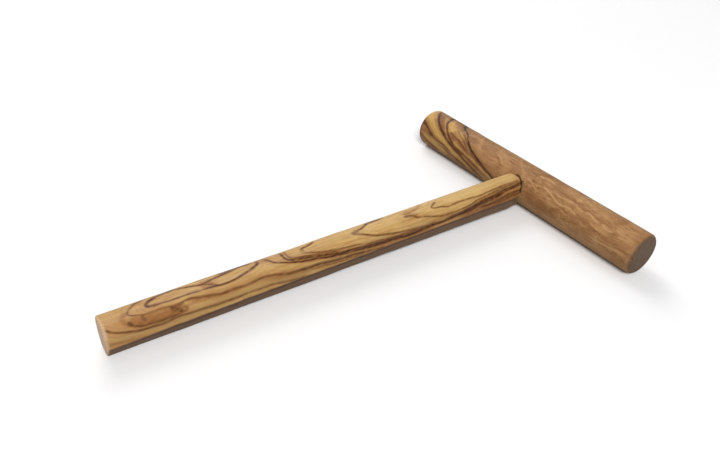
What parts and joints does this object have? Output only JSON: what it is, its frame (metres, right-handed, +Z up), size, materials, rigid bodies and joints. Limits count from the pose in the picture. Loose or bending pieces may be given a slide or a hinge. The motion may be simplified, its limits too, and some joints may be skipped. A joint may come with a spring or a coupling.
{
  "type": "crepe batter spreader",
  "caption": "T-shaped wooden batter spreader: a round crossbar dowelled square to a long hand-shaped handle.",
  "frame": {"origin": "on the table, under the middle of the whole tool", "axes": "+X along the handle towards the crossbar, +Y along the crossbar, +Z up from the table the tool lies on"},
  "size_m": [0.2016, 0.127, 0.0182],
  "materials": {
    "crossbar_wood": "oiled olive wood, reddish tan, smooth satin",
    "handle_wood": "oiled olive wood, golden with dark brown grain, satin",
    "dowel_wood": "dry pale hardwood"
  },
  "bodies": {
    "root": {"crossbar": "crossbar_wood", "handle": "handle_wood", "dowel_pin": "dowel_wood"}
  },
  "joints": []
}
